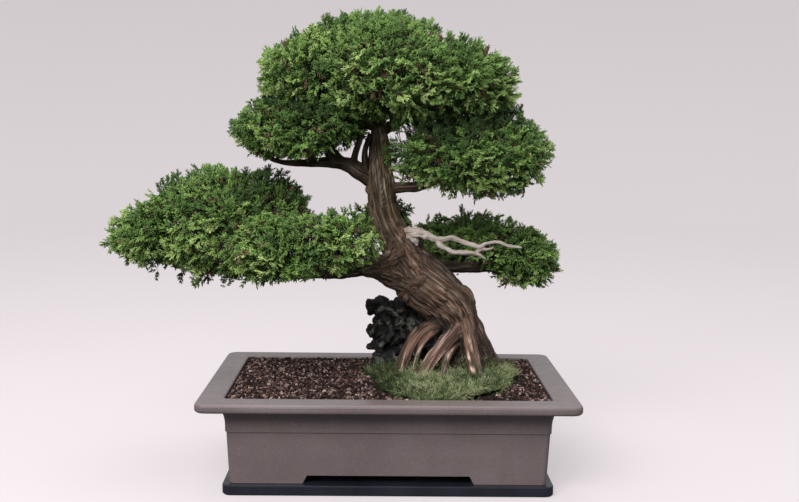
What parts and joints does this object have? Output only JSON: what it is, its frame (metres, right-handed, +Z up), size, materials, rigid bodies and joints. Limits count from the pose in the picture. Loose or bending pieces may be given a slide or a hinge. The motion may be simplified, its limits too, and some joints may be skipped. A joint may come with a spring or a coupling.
{
  "type": "bonsai tree in a pot",
  "caption": "Cypress bonsai with a leaning twisted trunk, exposed roots and flat foliage pads, in a rectangular lipped stoneware pot on a dark display slab.",
  "frame": {"origin": "centre of the underside of the display slab, where it rests on the bench", "axes": "+Z up; +X to the right seen from the front, along the pot's length; -Y towards the viewer, across the pot's width"},
  "size_m": [0.6516, 0.35, 0.6391],
  "materials": {
    "slab": "gloss",
    "stoneware": "satin",
    "screen": "matte",
    "grit": "matte",
    "soil": "matte",
    "moss": "matte",
    "rock": "matte",
    "bark": "matte",
    "deadwood": "matte",
    "foliage": "matte"
  },
  "bodies": {
    "root": {"display_slab": "slab", "pot": "stoneware", "drain_screen_left": "screen", "drain_screen_right": "screen", "drainage_layer": "grit", "soil": "soil", "moss_carpet": "moss", "rock": "rock", "trunk": "bark", "branch_upper_left": "bark", "branch_upper_right": "bark", "branch_lower_left": "bark", "branch_lower_right": "bark", "branch_back": "bark", "crown_branch_left": "bark", "crown_branch_right": "bark", "crown_branch_front": "bark", "crown_branch_back": "bark", "jin_deadwood": "deadwood", "foliage_crown": "foliage", "foliage_upper_left": "foliage", "foliage_upper_right": "foliage", "foliage_lower_left_back": "foliage", "foliage_lower_left_front": "foliage", "foliage_lower_right": "foliage", "foliage_back": "foliage"}
  },
  "joints": []
}
